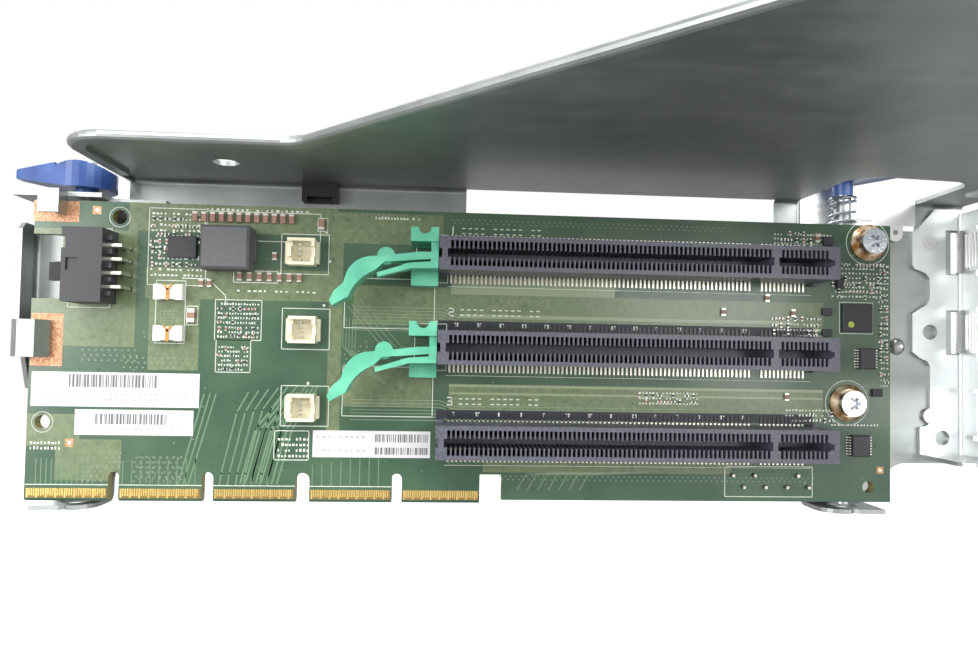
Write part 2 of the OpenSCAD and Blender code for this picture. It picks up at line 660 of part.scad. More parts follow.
header_l = 15.9;                        // along Z
header_z = 53.35;
header_x = [1.5, 9.8];
header_wall = 1;
pin_w = 0.64;
pin_rows = [header_drop(0), header_drop(1)];
power_pin_at = [for (i = [0:power_pins - 1], j = [0, 1])
  [header_x[1] + 1.2 + j * 1.7, header_z + (i - (power_pins - 1) / 2) * power_pitch]];

// Height of a pin row in the housing: the outer row is the one with the longer reach
function header_drop(j) = board_y - 2.4 - j * 3.1;

module power_header() color([0.12, 0.12, 0.13]) {
  low = header_z - header_l / 2;
  high = header_z + header_l / 2;
  face = board_y - power_h;
  difference() {
    union() {
      span([header_x[0], face, low], [header_x[1], board_y, high]);
      // Ramp for the plug's catch, with the low bridge that carries it
      prism([[-4.2, board_y - 1.2], [-0.9, board_y - 3.2], [-0.9, board_y], [-4.2, board_y]], 50.3, 54.3);
      span([-0.9, board_y - 0.8, 51], [header_x[0], board_y, 53.6]);
      // Comb between the pins at the back
      for (i = [0:power_pins]) span([header_x[1], face + 1.5, header_z + (i - power_pins / 2) * power_pitch - 0.5],
        [header_x[1] + 1.4, board_y - 4.6, header_z + (i - power_pins / 2) * power_pitch + 0.5]);
    }
    span([header_x[0] - 1, face + header_wall, low + header_wall],
      [header_x[1] - 1.8, board_y - header_wall, high - header_wall]);
    // Key window in the face
    span([header_x[0] + 0.9, face - 1, 52], [header_x[0] + 3.4, face + 0.5, 54.7]);
    span([header_x[0] - 1, face - 1, header_z + 3.4], [header_x[0] + 0.8, face + header_wall + 1, high - 2]);
    for (p = power_pin_at, j = [0, 1]) span([0, pin_rows[j] - pin_w / 2, p[1] - pin_w / 2],
      [header_x[1] + 1, pin_rows[j] + pin_w / 2, p[1] + pin_w / 2]);
  }
}

// Prism along Z over a list of points in plan
module prism(points, z0, z1) {
  translate([0, 0, z0]) linear_extrude(z1 - z0) polygon(points);
}

// Right-angle pins: out of the housing's back and down through the board
module power_header_pins() color("silver") {
  for (i = [0:power_pins - 1], j = [0, 1]) {
    p = power_pin_at[2 * i + j];
    span([header_x[0] + 1.5, pin_rows[j] - pin_w / 2, p[1] - pin_w / 2],
      [p[0] + pin_w / 2, pin_rows[j] + pin_w / 2, p[1] + pin_w / 2]);
    span([p[0] - pin_w / 2, pin_rows[j] - pin_w / 2, p[1] - pin_w / 2],
      [p[0] + pin_w / 2, board_back + 0.8, p[1] + pin_w / 2]);
  }
}

// ---- Small cream signal headers ----

signal_at = [[50.5, 57.9], [51.1, 40.55], [51.3, 23.3]];
signal_size = [7.6, 4, 6];

module signal_header(k) color([0.9, 0.88, 0.78]) {
  w = signal_size[0];
  h = signal_size[1];
  l = signal_size[2];
  translate([signal_at[k][0], board_y, signal_at[k][1]]) difference() {
    union() {
      span([-w / 2 + 0.9, -h, -l / 2], [w / 2 - 0.7, 0, l / 2]);
      span([-w / 2, -1.4, -l / 2 + 0.5], [w / 2, 0, l / 2 - 0.5]);
    }
    span([-w / 2 + 1.8, -h - 1, -l / 2 + 0.7], [w / 2 - 1.5, -0.9, l / 2 - 0.7]);
    // Latching notches in the left wall, and the slot opposite
    for (s = [-1, 1]) span([-w / 2, -h - 1, s * 1.7 - 0.5], [-w / 2 + 1.9, -h + 1.6, s * 1.7 + 0.5]);
    span([w / 2 - 1.6, -h - 1, -1.1], [w / 2, -h + 1.2, 1.1]);
    for (i = signal_pins_z) span([-0.45, -h, i - 0.25], [0.05, 1, i + 0.25]);
  }
}

signal_pins_z = [-1.65, -0.55, 0.55, 1.65];

module signal_pins() color("silver") {
  for (p = signal_at, i = signal_pins_z) translate([p[0], board_y, p[1]]) {
    span([-0.45, -signal_size[1] + 1, i - 0.25], [0.05, 0, i + 0.25]);
  }
}

// ---- Chips and passive parts of the board ----

// Box on the board's face about x, z, with chamfered top edges
module package(x, z, w, l, h, bevel) {
  translate([x, board_y, z]) rotate([90, 0, 0]) intersection() {
    linear_extrude(h) square([w, l], center = true);
    rotate([90, 0, 0]) linear_extrude(l + 1, center = true)
      polygon([[-w / 2, 0], [w / 2, 0], [w / 2, h - bevel], [w / 2 - bevel, h], [bevel - w / 2, h],
        [-w / 2, h - bevel]]);
    rotate([90, 0, 90]) linear_extrude(w + 1, center = true)
      polygon([[-l / 2, 0], [l / 2, 0], [l / 2, h - bevel], [l / 2 - bevel, h], [bevel - l / 2, h],
        [-l / 2, h - bevel]]);
  }
}

module inductor() color([0.3, 0.3, 0.31]) {
  x = 34.6;
  z = 58.15;
  package(x, z, inductor_l - 1, inductor_w, inductor_h, 0.5);
  for (s = [-1, 1]) span([x + s * (inductor_l / 2 - 0.5) - 0.5, board_y - 1.6, z - 2.6],
    [x + s * (inductor_l / 2 - 0.5) + 0.5, board_y, z + 2.6]);
}

module power_controller() color([0.16, 0.16, 0.17]) {
  package(24, 58.5, 6.2, 4.9, 1, 0.1);
}

module logic_chip() color([0.14, 0.14, 0.15]) {
  package(board_right - 8.45, 46.1, 7.3, 6.6, 0.9, 0.1);
}

// Bodies with gull-wing leads on both long sides
module buffer_chips() color([0.13, 0.13, 0.14]) {
  for (c = [[board_right - 6.1, 36.5, 3.9, 4.9, 7], [board_right - 7.7, 16, 4.4, 4.9, 7]]) {
    translate([0, -0.1, 0]) package(c[0], c[1], c[2], c[3], 1.2, 0.2);
    span([c[0] - c[2] / 2 + 0.4, board_y - 0.1, c[1] - c[3] / 2 + 0.4],
      [c[0] + c[2] / 2 - 0.4, board_y, c[1] + c[3] / 2 - 0.4]);
    for (i = [0:c[4] - 1], s = [-1, 1]) translate([c[0], board_y, c[1] + (i - (c[4] - 1) / 2) * 0.65]) {
      span([min(s * (c[2] / 2 - 0.1), s * (c[2] / 2 + 0.45)), -0.75, -0.12],
        [max(s * (c[2] / 2 - 0.1), s * (c[2] / 2 + 0.45)), -0.6, 0.12]);
      span([s * (c[2] / 2 + 0.375) - 0.075, -0.75, -0.12], [s * (c[2] / 2 + 0.375) + 0.075, 0, 0.12]);
      span([s * (c[2] / 2 + 0.6) - 0.3, -0.15, -0.12], [s * (c[2] / 2 + 0.6) + 0.3, 0, 0.12]);
    }
  }
}

module small_chips() color([0.15, 0.15, 0.16]) {
  for (c = [[board_right - 3.5, 28.5, 2.4, 1.8], [slot_right + 2.7, 47.4, 2.2, 1.7],
      [slot_right + 2.7, 42.4, 2.2, 1.7], [slot_right + 5.8, 54.3, 1.7, 2.6], [slot_right + 2.9, 64.1, 2.2, 2]])
    package(c[0], c[1], c[2], c[3], 0.9, 0.12);
}

// One chip capacitor: body with a metal cap at each end, standing along Z
module chip_cap(x, z, w, l, h) {
  span([x - w / 2 + 0.03, board_y - h + 0.03, z - l / 2 + 0.2], [x + w / 2 - 0.03, board_y, z + l / 2 - 0.2]);
  for (s = [-1, 1]) span([x - w / 2, board_y - h, z + s * (l / 2 - 0.15) - 0.15 - 0.05],
    [x + w / 2, board_y, z + s * (l / 2 - 0.15) + 0.15 + 0.05]);
}

cap_pitch = 1.936;

module ceramic_capacitors() color("burlywood") {
  for (i = [0:11]) chip_cap(26.5 + i * cap_pitch, 65.5, 1.1, 2, 0.9);
  for (i = [0:6]) chip_cap(36.6 + i * 2.2, 52.3, 1, 1.8, 0.8);
  chip_cap(54.5, 64.5, 1.2, 2.2, 1);
  chip_cap(26.4, 43.3, 1.6, 3, 1.2);
}

// White ceramic bodies between two metal caps
module fuse_blocks() color("whitesmoke") {
  for (c = [[21.7, 48.3], [21.9, 39.2]]) {
    span([c[0] - 2.9, board_y - 2.2, c[1] - 1.5], [c[0] + 2.9, board_y, c[1] + 1.5]);
    for (s = [-1, 1]) span([c[0] + s * 2.3 - 0.8, board_y - 2.4, c[1] - 1.7],
      [c[0] + s * 2.3 + 0.8, board_y, c[1] + 1.7]);
  }
}

// ---- Header on the board's back, soldered through ----

tail_pitch = 2.58;
tail_rows = [6.2, 8.9];
tail_x = rear_x - 20.8;
tail_at = [for (i = [0:7]) if (i != 4) [tail_x - 9 + i * tail_pitch, tail_rows[(i + 1) % 2]]];
tail_l = 21;

module tail_header() color([0.12, 0.12, 0.13]) {
  mid = (tail_rows[0] + tail_rows[1]) / 2;
  difference() {
    span([tail_x - tail_l / 2, board_back, mid - 3.5], [tail_x + tail_l / 2, board_back + 5, mid + 3.5]);
    span([tail_x - tail_l / 2 + 1, board_back + 1.6, mid - 2.5],
      [tail_x + tail_l / 2 - 1, board_back + 6, mid + 2.5]);
    for (p = tail_at) translate([p[0], board_back - 1, p[1]])
      span([-pin_w / 2, 0, -pin_w / 2], [pin_w / 2, 4, pin_w / 2]);
  }
}

module tail_header_pins() color("silver") {
  for (p = tail_at) translate([p[0], 0, p[1]])
    span([-pin_w / 2, board_y - 1.2, -pin_w / 2], [pin_w / 2, board_back + 4.4, pin_w / 2]);
}

// ---- Clip pressed under the panel ----

module panel_clip() color([0.08, 0.08, 0.09]) {
  ends = [48.5, 56.8];
  bottom = panel_z - 4.5;
  fold_z = panel_z - bend_r;
  difference() {
    union() {
      span([ends[0], 1, bottom], [ends[1], plate_y, fold_z]);
      span([ends[0], 1, fold_z], [ends[1], layer_y, panel_z]);
    }
    span([ends[0] + 1.2, 0, bottom - 1], [ends[1] - 1.2, 3.6, bottom + 1]);
  }
}

// ---- Half-turn latches ----

pin_z = 3;
cross_pin_r = 0.75;
cross_pin_l = 6;
retainer_r = 3.3;
retainer_t = 0.8;
groove_depth = 0.4;
hub_r = 2.4;
seat_gap = 0.1;                         // air between a spring or ring and its seat
front_ring_z = 19.2;
rear_ring_z = guide_z - 2 * seat_gap - retainer_t;

// Lever: round head, tapering to a thin rounded tip, pointing +X
module lever(z, hub_low) {
  tip_r = 2;
  reach = lever_reach - tip_r;
  turn = acos((lever_head_r - tip_r) / reach);
  difference() {
    union() {
      translate([0, 0, z]) intersection() {
        linear_extrude(lever_t) polygon(concat(arc([0, 0], lever_head_r, turn, 360 - turn, 16),
          arc([reach, 0], tip_r, -turn, turn, 8)));
        rotate([90, 0, 0]) linear_extrude(4 * lever_head_r, center = true)
          polygon(concat([[-lever_head_r, 0.8], [0.8 - lever_head_r, 0], [2, 0]],
            arc([lever_reach - 1.2, 3.2], 1.2, -60, 60, 4), [[5, lever_t - 0.4]],
            arc([0, lever_t - 12], 12, 65, 90, 3), arc([0, lever_t - 12], 12, 90, 122, 5)));
      }
      translate([0, 0, hub_low]) cylinder(r = hub_r, h = z - hub_low + 1);
    }
    translate([0, 0, hub_low - 1]) cylinder(r = shaft_d / 2 + 0.02, h = 40);
    // Screwdriver notch across the top
    span([-3.8, -0.7, z + lever_t - 1], [3.8, 0.7, z + lever_t + 1]);
  }
}

// Shaft with a hole for its cross pin and a groove for its ring
module shaft(top, ring_z) {
  low = 1.5;
  difference() {
    translate([0, 0, low]) cylinder(d = shaft_d, h = top - low);
    translate([0, 0, pin_z]) rotate([90, 0, 0]) cylinder(r = cross_pin_r + 0.02, h = 10, center = true);
    translate([0, 0, ring_z - 0.05]) rotate_extrude()
      translate([shaft_d / 2 - groove_depth, 0]) square([2, retainer_t + 0.1]);
  }
}

module cross_pin() {
  translate([0, 0, pin_z]) rotate([90, 0, 0]) cylinder(r = cross_pin_r, h = cross_pin_l, center = true);
}

// Open retaining ring in the shaft's groove
module retainer(z) {
  inner = shaft_d / 2 - groove_depth + 0.02;
  translate([0, 0, z]) rotate([0, 0, 35]) rotate_extrude(angle = 290)
    translate([inner, 0]) square([retainer_r - inner, retainer_t]);
}

// Compression spring between z0 and z1, its end turns closed
module coil(z0, z1, turns) {
  sides = 6;
  steps = 18;
  n = turns * steps;
  r = (spring_d - spring_wire) / 2;
  w = spring_wire / 2;
  rise = z1 - z0 - spring_wire;
  function lift(t) = let (e = spring_wire * 1.05)
    t < 1 ? e * t : t > turns - 1 ? rise - e * (turns - t) : e + (rise - 2 * e) * (t - 1) / (turns - 2);
  points = [for (i = [0:n], j = [0:sides - 1]) let (a = 360 * i / steps, b = 360 * j / sides)
    [(r + w * cos(b)) * cos(a), (r + w * cos(b)) * sin(a), z0 + w + lift(i / steps) + w * sin(b)]];
  faces = concat([[for (j = [0:sides - 1]) j]], [[for (j = [sides - 1:-1:0]) n * sides + j]],
    [for (i = [0:n - 1], j = [0:sides - 1]) let (a = i * sides + j, b = i * sides + (j + 1) % sides)
      [a, a + sides, b + sides, b]]);
  polyhedron(points, faces, convexity = 8);
}

lever_blue = [0.2, 0.36, 0.72];

module front_lever() color(lever_blue) {
  rotate([0, 0, 180]) lever(front_lever_z, flange_z + sheet_t + seat_gap);
}
module front_shaft() color("silver") shaft(front_lever_z + lever_t + 0.8, front_ring_z);
module front_cross_pin() color("silver") cross_pin();
module front_retainer() color("dimgray") retainer(front_ring_z);
module front_spring() color("silver")
  coil(guide_z + sheet_t + seat_gap, front_ring_z - seat_gap, 5);

module rear_lever() color(lever_blue) {
  translate([rear_x, 0, 0]) lever(rear_lever_z, rear_lever_z - 3.3);
}
module rear_shaft() color("silver")
  translate([rear_x, 0, 0]) shaft(rear_lever_z + lever_t + 0.8, rear_ring_z);
module rear_cross_pin() color("silver") translate([rear_x, 0, 0]) cross_pin();
module rear_retainer() color("dimgray") translate([rear_x, 0, 0]) retainer(rear_ring_z);
module rear_spring() color("silver") translate([rear_x, 0, 0])
  coil(rear_guide_z + sheet_t + seat_gap, rear_lever_z - 3.3 - seat_gap, 4);

cage_shell();
rear_frame();
latch_bracket();
frame_rivets();
riser_board();
board_washers();
board_screws();
card_slot(0);  // card_slot_1
card_slot(1);  // card_slot_2
card_slot(2);  // card_slot_3
slot_contacts(0);  // slot_contacts_1
slot_contacts(1);  // slot_contacts_2
slot_contacts(2);  // slot_contacts_3
card_latch(0);  // card_latch_1
card_latch(1);  // card_latch_2
power_header();
power_header_pins();
signal_header(0);  // signal_header_1
signal_header(1);  // signal_header_2
signal_header(2);  // signal_header_3
signal_pins();
inductor();
power_controller();
logic_chip();
buffer_chips();
small_chips();
ceramic_capacitors();
fuse_blocks();
tail_header();
tail_header_pins();
panel_clip();
slot_blank(0);  // slot_blank_1
slot_blank(1);  // slot_blank_2
blank_screws();
front_lever();
front_shaft();
front_cross_pin();
front_retainer();
front_spring();
rear_lever();
rear_shaft();
rear_cross_pin();
rear_retainer();
rear_spring();
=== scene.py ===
import bpy
import math
import random
from mathutils import Matrix, Vector


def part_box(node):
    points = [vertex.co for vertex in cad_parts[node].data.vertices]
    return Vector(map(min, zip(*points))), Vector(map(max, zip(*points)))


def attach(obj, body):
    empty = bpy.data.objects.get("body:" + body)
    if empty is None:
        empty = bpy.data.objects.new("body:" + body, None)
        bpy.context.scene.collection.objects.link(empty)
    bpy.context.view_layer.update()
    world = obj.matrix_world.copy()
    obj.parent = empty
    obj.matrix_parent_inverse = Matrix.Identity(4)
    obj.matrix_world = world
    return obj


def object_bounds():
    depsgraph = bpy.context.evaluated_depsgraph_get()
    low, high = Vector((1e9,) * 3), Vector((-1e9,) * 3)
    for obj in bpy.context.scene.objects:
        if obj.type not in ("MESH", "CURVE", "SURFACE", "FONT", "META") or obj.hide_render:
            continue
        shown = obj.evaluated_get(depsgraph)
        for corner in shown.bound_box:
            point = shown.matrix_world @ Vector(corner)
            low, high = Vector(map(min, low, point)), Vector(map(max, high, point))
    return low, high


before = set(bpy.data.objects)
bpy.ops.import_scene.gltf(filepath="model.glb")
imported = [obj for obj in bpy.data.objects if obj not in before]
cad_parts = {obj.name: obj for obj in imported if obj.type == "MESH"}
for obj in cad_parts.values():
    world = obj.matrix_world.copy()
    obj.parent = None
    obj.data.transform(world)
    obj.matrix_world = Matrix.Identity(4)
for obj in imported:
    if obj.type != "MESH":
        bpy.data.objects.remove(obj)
cad_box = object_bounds()
random.seed(5)
MM = 0.001

# ---- Camera, floor and light ----
# A plain pale floor well below the cage, which is held by its chassis stud, and soft studio light
# from above and in front. The camera looks straight at the riser board under the open panel.

turn_x, turn_y, turn_z = 0.0346, -0.0188, -0.0674
turn = Matrix.Rotation(turn_z, 3, "Z") @ Matrix.Rotation(turn_y, 3, "Y") @ Matrix.Rotation(turn_x, 3, "X")
camera = bpy.data.objects.new("camera", bpy.data.cameras.new("camera"))
camera.data.lens = 27.6
camera.data.sensor_width = 36
camera.data.clip_start = 0.005
rotation = Matrix((turn.col[0], turn.col[2], -turn.col[1])).transposed()
camera.matrix_world = Matrix.Translation(Vector((81.435, -177.397, 35.62)) * MM) @ rotation.to_4x4()
bpy.context.scene.collection.objects.link(camera)
bpy.context.scene.camera = camera
bpy.context.scene.view_settings.view_transform = "Standard"


class Wire:
    """Output of a shader node. Sums, products and comparisons of wires add Math nodes."""

    def __init__(self, socket):
        self.socket = socket

    def node(self, kind, settings, sockets, output=0):
        tree = self.socket.id_data
        made = tree.nodes.new("ShaderNode" + kind)
        for name, value in settings.items():
            if name == "stops":
                while len(made.color_ramp.elements) < len(value):
                    made.color_ramp.elements.new(0.5)
                for element, (at, colour) in zip(made.color_ramp.elements, value):
                    element.position, element.color = at, (*colour, 1)
            else:
                setattr(made, name, value)
        for name, value in sockets.items():
            if isinstance(value, Wire):
                tree.links.new(value.socket, made.inputs[name])
            else:
                made.inputs[name].default_value = value
        return Wire(made.outputs[output])

    def math(self, operation, a, b=0.0):
        return self.node("Math", {"operation": operation}, {0: a, 1: b})

    def __add__(self, other):
        return self.math("ADD", self, other)

    def __mul__(self, other):
        return self.math("MULTIPLY", self, other)

    def __sub__(self, other):
        return self.math("SUBTRACT", self, other)

    def __rsub__(self, other):
        return self.math("SUBTRACT", other, self)

    def __gt__(self, other):
        return self.math("GREATER_THAN", self, other)

    def __lt__(self, other):
        return self.math("LESS_THAN", self, other)

    __radd__, __rmul__ = __add__, __mul__

    def mix(self, low, high):
        """Colour that goes from low to high as this wire goes from 0 to 1."""
        return self.node("Mix", {"data_type": "RGBA"}, {0: self, 6: low, 7: high}, 2)

    def noise(self, scale, detail=3.0, stretch=(1, 1, 1)):
        """Noise over this wire's place, with scale patches to the metre."""
        place = self.node("Mapping", {}, {"Vector": self, "Scale": stretch})
        return self.node("TexNoise", {}, {"Vector": place, "Scale": scale, "Detail": detail})

    def steps(self, low, high):
        """0 below low, 1 above high, and a ramp between."""
        return self.node("MapRange", {}, {"Value": self, "From Min": low, "From Max": high})


def tint(red, green, blue):
    """Colour from the 0 to 255 values that a paint chart gives."""
    return tuple(((c / 255 + 0.055) / 1.055) ** 2.4 if c > 10 else c / 3300
                 for c in (red, green, blue)) + (1,)


def finish(name, colour, roughness, metallic=0.0, **fixed):
    """A material and the wire of its object coordinates."""
    material = bpy.data.materials.new(name)
    material.use_nodes = True
    shader = material.node_tree.nodes["Principled BSDF"]
    values = {"Base Color": colour, "Roughness": roughness, "Metallic": metallic}
    for socket, value in {**values, **{k.replace("_", " "): v for k, v in fixed.items()}}.items():
        shader.inputs[socket].default_value = value
    return material, Wire(material.node_tree.nodes.new("ShaderNodeTexCoord").outputs["Object"])


def feed(material, **wires):
    """Joins wires to the shader's sockets, with _ for a space in their names."""
    shader = material.node_tree.nodes["Principled BSDF"]
    for name, wire in wires.items():
        material.node_tree.links.new(wire.socket, shader.inputs[name.replace("_", " ")])


def bump(place, height, distance, strength=0.5):
    return place.node("Bump", {}, {"Height": height, "Distance": distance, "Strength": strength})


def dress(material, *nodes):
    """Gives CAD nodes their finish."""
    for node in nodes:
        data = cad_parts[node].data
        data.materials.clear()
        data.materials.append(material)


def piece(name, points, faces, material, body="root"):
    """A mesh piece from points in millimetres."""
    mesh = bpy.data.meshes.new(name)
    mesh.from_pydata([Vector(p) * MM for p in points], [], faces)
    mesh.update()
    made = bpy.data.objects.new(name, mesh)
    bpy.context.scene.collection.objects.link(made)
    made.data.materials.append(material)
    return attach(made, body)


floor_drop = 62 * MM
floor_half = 1.6
floor_mesh = bpy.data.meshes.new("floor")
floor_mesh.from_pydata([(x * floor_half, y * floor_half, cad_box[0].z - floor_drop)
                        for x, y in ((-1, -1), (1, -1), (1, 1), (-1, 1))], [], [(0, 1, 2, 3)])
floor = bpy.data.objects.new("floor", floor_mesh)
bpy.context.scene.collection.objects.link(floor)
floor_paint, floor_place = finish("floor_paint", tint(150, 150, 150), 0.9, Emission_Strength=1.0)
floor_seen = floor_place.node("LightPath", {}, {})
feed(floor_paint, Base_Color=floor_place.noise(3).mix(tint(146, 146, 146), tint(154, 154, 153)),
     Emission_Color=floor_seen.mix((0, 0, 0, 1), (0.9, 0.9, 0.9, 1)))
floor.data.materials.append(floor_paint)

world = bpy.data.worlds.new("studio")
bpy.context.scene.world = world
world.use_nodes = True
background = world.node_tree.nodes["Background"]
rays = Wire(world.node_tree.nodes.new("ShaderNodeLightPath").outputs["Is Camera Ray"])
mirrored = Wire(rays.socket.node.outputs["Is Glossy Ray"])
world.node_tree.links.new((rays * 0.65 + mirrored * 0.38 + 0.35).socket, background.inputs["Strength"])
background.inputs["Color"].default_value = (1, 1, 1, 1)


def lamp(name, place, target, size, power):
    light = bpy.data.lights.new(name, "AREA")
    light.shape, light.size, light.energy = "DISK", size, power
    made = bpy.data.objects.new(name, light)
    made.location = place
    made.rotation_mode = "QUATERNION"
    made.rotation_quaternion = (Vector(target) - Vector(place)).to_track_quat("-Z", "Y")
    bpy.context.scene.collection.objects.link(made)


middle = (cad_box[0] + cad_box[1]) / 2
lamp("key", (-0.15, -0.55, 0.62), middle, 0.5, 5.0)
lamp("fill", (0.5, -0.6, 0.25), middle, 0.6, 5.0)
lamp("side", (-0.5, -0.55, 0.1), middle, 0.5, 5.0)
lamp("top", (0.1, 0.1, 0.75), middle, 0.7, 2.6)
lamp("rear", (-0.2, 0.7, 0.35), middle, 0.6, 3.5)

# ---- Cage and rear frame ----
# Galvanised sheet, folded and left bare: a soft zinc grey with faint crystals and rolling marks.


def zinc(name, light, dark, rough):
    """Galvanised sheet between two greys."""
    paint, place = finish(name, light, rough, 0.9)
    crystals = place.node("TexVoronoi", {"feature": "SMOOTH_F1"}, {"Vector": place, "Scale": 260.0}, 1)
    grey = crystals.node("RGBToBW", {}, {"Color": crystals})
    cloud = place.noise(38, 4)
    lines = place.noise(420, 2, (0.04, 1, 1))
    shade = cloud * 0.6 + grey * 0.18 + lines * 0.22
    feed(paint, Base_Color=shade.steps(0.3, 0.7).mix(dark, light),
         Roughness=(cloud * 0.16 + lines * 0.1 + grey * 0.06) + (rough - 0.16),
         Normal=bump(place, lines + cloud * 0.5, 0.00003, 0.35))
    return paint


# The cage and the latch bracket are the same galvanised sheet as the frame: the cage is painted darker as
# painted shade for its shaded underside, and the bracket brighter as a painted highlight.
cage_steel = zinc("cage_steel", tint(180, 184, 182), tint(146, 151, 149), 0.42)
frame_steel = zinc("frame_steel", tint(236, 238, 238), tint(214, 218, 219), 0.42)
bright_steel = zinc("bright_steel", tint(244, 244, 242), tint(226, 227, 227), 0.36)
dress(cage_steel, "cage_shell")
dress(frame_steel, "rear_frame")
dress(bright_steel, "latch_bracket")

rivet_steel, place = finish("rivet_steel", tint(206, 208, 207), 0.3, 0.95)
feed(rivet_steel, Roughness=place.noise(900).steps(0.3, 0.7) * 0.2 + 0.22)
dress(rivet_steel, "frame_rivets")

# ---- Slot blanks and their screws ----
# Thin nickel-plated strips with pressed ribs, brighter than the cage, held by zinc-plated screws.
# The board's screws have the same plating, and its washers a yellow passivated one.

blank_steel, place = finish("blank_steel", tint(226, 226, 224), 0.28, 0.95)
streaks = place.noise(700, 3, (1, 1, 0.05))
feed(blank_steel, Base_Color=streaks.steps(0.3, 0.7).mix(tint(206, 207, 206), tint(232, 232, 230)),
     Roughness=streaks * 0.16 + 0.2, Normal=bump(place, streaks, 0.00002, 0.3))
dress(blank_steel, "slot_blank_1", "slot_blank_2")

screw_steel, place = finish("screw_steel", tint(212, 216, 222), 0.22, 1.0)
worn = place.noise(1500, 3)
feed(screw_steel, Base_Color=worn.steps(0.35, 0.65).mix(tint(186, 192, 204), tint(228, 230, 232)),
     Roughness=worn * 0.2 + 0.12, Normal=bump(place, worn, 0.00004, 0.4))
dress(screw_steel, "blank_screws", "board_screws")

washer_steel, place = finish("washer_steel", tint(196, 164, 112), 0.3, 0.9)
stain = place.noise(420, 3)
feed(washer_steel, Base_Color=stain.steps(0.38, 0.66).mix(tint(150, 104, 52), tint(226, 214, 186)),
     Roughness=stain * 0.2 + 0.18)
dress(washer_steel, "board_washers")

# ---- Riser board ----
# Glass-fibre laminate under green solder mask. Where copper lies below, the mask looks lighter and
# yellower; the cut edges show the bare fibre, and the contact fingers are gold over copper.

low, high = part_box("riser_board")
face_y = low.y / MM
mask_green, place = finish("board_mask", tint(60, 84, 60), 0.34, 0.0, Coat_Weight=0.25, Coat_Roughness=0.12)
split = place.node("SeparateXYZ", {}, {"Vector": place})
board_x, board_z = split, Wire(split.socket.node.outputs["Z"])


def inside(x0, x1, z0, z1):
    """1 inside a box on the board, in millimetres."""
    return (board_x > x0 * MM) * (board_x < x1 * MM) * (board_z > z0 * MM) * (board_z < z1 * MM)


POURS = [(-8.6, 14, 36, 62), (12, 58, 62, 68.6), (16, 57.5, 47, 54), (58, 82, 60.5, 67.5), (17, 28, 31, 47),
         (56.5, 59.5, 14, 62), (-2, 12, 6.5, 15.5), (62, 84, 42, 51), (60, 80, 23.5, 33),
         (84, 172, 42.5, 49.5),
         (84, 172, 21.5, 29), (-8.6, 3, 14, 21), (92, 150, 9, 12)]
copper_below = inside(*POURS[0])
for box in POURS[1:]:
    copper_below = copper_below.math("MAXIMUM", copper_below, inside(*box))
cloud = place.noise(55, 3)
weave = place.noise(900, 2)
hue = cloud.steps(0.3, 0.72).mix(tint(44, 76, 56), tint(74, 100, 74))
# Painted reflection: thin pale olive bands under the slots, for the light the glossy mask reflects there.
painted_reflection_bands = inside(84, 122, 49.5, 53.5)
for box in ((86, 165, 44.2, 45), (90, 172, 42.8, 43.3), (84, 172, 28.3, 28.9), (84, 172, 26.6, 27.1)):
    painted_reflection_bands = painted_reflection_bands.math("MAXIMUM", painted_reflection_bands, inside(*box))
hue = (copper_below * 0.9).mix(hue, weave.steps(0.3, 0.7).mix(tint(98, 112, 80), tint(118, 130, 96)))
hue = (painted_reflection_bands * 0.8).mix(hue, tint(150, 160, 128))
normal = Wire(place.socket.id_data.nodes.new("ShaderNodeNewGeometry").outputs["True Normal"])
facing = normal.node("SeparateXYZ", {}, {"Vector": normal})
facing = Wire(facing.socket.node.outputs["Y"])
edge = facing.math("ABSOLUTE", facing) < 0.5
hue = edge.mix(hue, weave.steps(0.3, 0.7).mix(tint(116, 112, 66), tint(148, 140, 92)))
feed(mask_green, Base_Color=hue, Roughness=weave * 0.12 + 0.24 + edge * 0.3,
     Normal=bump(place, weave * 0.3 + copper_below, 0.00002, 0.3))
dress(mask_green, "riser_board")

PRINT_T = 0.03


class Flat:
    """Thin closed shapes laid on the board's face, gathered into one piece."""

    def __init__(self, thickness=PRINT_T, side=-1, level=None):
        self.points, self.faces = [], []
        self.front = (face_y if level is None else level) + side * thickness
        self.back = face_y if level is None else level

    def outline(self, corners):
        """A prism over a convex or strip-shaped outline given in order."""
        n, base = len(corners), len(self.points)
        self.points += [(x, self.front, z) for x, z in corners] + [(x, self.back, z) for x, z in corners]
        self.faces += [tuple(base + i for i in range(n)), tuple(base + n + i for i in reversed(range(n)))]
        self.faces += [(base + i, base + n + i, base + n + (i + 1) % n, base + (i + 1) % n) for i in range(n)]

    def box(self, x0, x1, z0, z1):
        self.outline([(x0, z0), (x1, z0), (x1, z1), (x0, z1)])

    def line(self, corners, width):
        """A line of even width through the corners, in one quad for each stretch."""
        for (x0, z0), (x1, z1) in zip(corners, corners[1:]):
            length = math.hypot(x1 - x0, z1 - z0) or 1
            ux, uz = (x1 - x0) / length * width / 2, (z1 - z0) / length * width / 2
            self.outline([(x0 - ux + uz, z0 - uz - ux), (x1 + ux + uz, z1 + uz - ux),
                          (x1 + ux - uz, z1 + uz + ux), (x0 - ux - uz, z0 - uz + ux)])

    def frame(self, x0, x1, z0, z1, width=0.16):
        self.line([(x0, z0), (x1, z0), (x1, z1), (x0, z1), (x0, z0)], width)

    def disc(self, x, z, r, sides=10):
        self.outline([(x + r * math.cos(2 * math.pi * i / sides), z + r * math.sin(2 * math.pi * i / sides))
                      for i in range(sides)])

    def ring(self, x, z, r, width, sides=32):
        for i in range(sides):
            a, b = (2 * math.pi * (i + k) / sides for k in (0, 1))
            self.outline([(x + q * math.cos(t), z + q * math.sin(t))
                          for q, t in ((r, a), (r + width, a), (r + width, b), (r, b))])

    def done(self, name, material, slot):
        return piece(name, self.points, self.faces, material)


